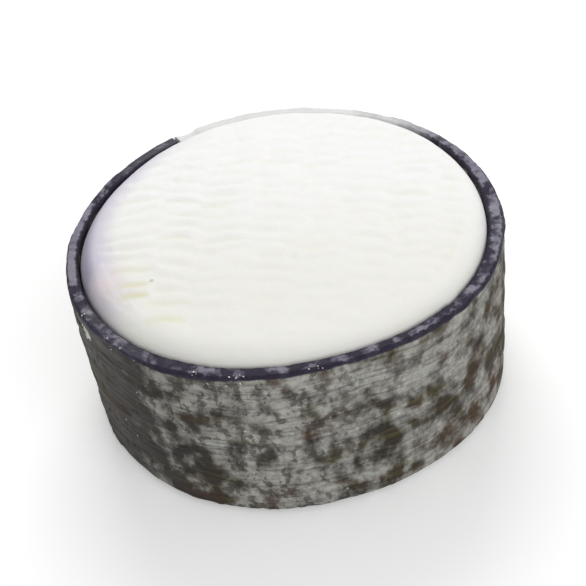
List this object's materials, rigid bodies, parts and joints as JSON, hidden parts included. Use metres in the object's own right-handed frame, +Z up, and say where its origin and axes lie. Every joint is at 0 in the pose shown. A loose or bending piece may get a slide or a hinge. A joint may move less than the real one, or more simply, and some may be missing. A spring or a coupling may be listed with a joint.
{
  "type": "bloomy-rind cheese",
  "caption": "Small round soft-ripened cheese wheel with a domed, mat-marked white rind, girdled by a strip of spruce bark whose two ends meet.",
  "frame": {"origin": "on the floor, under the middle of the whole piece", "axes": "+Z up through the wheel's middle; +X along the rows of the mat's marks, with the two ends of the bark strip meeting at the back left"},
  "size_m": [0.094, 0.0926, 0.045],
  "materials": {
    "rind": "velvety white bloom over a pale cream rind, matt and uneven",
    "bark": "damp inner bark, dark olive-brown with grey and white mould bloom"
  },
  "bodies": {
    "root": {"cheese_wheel": "rind", "bark_band": "bark"}
  },
  "joints": []
}
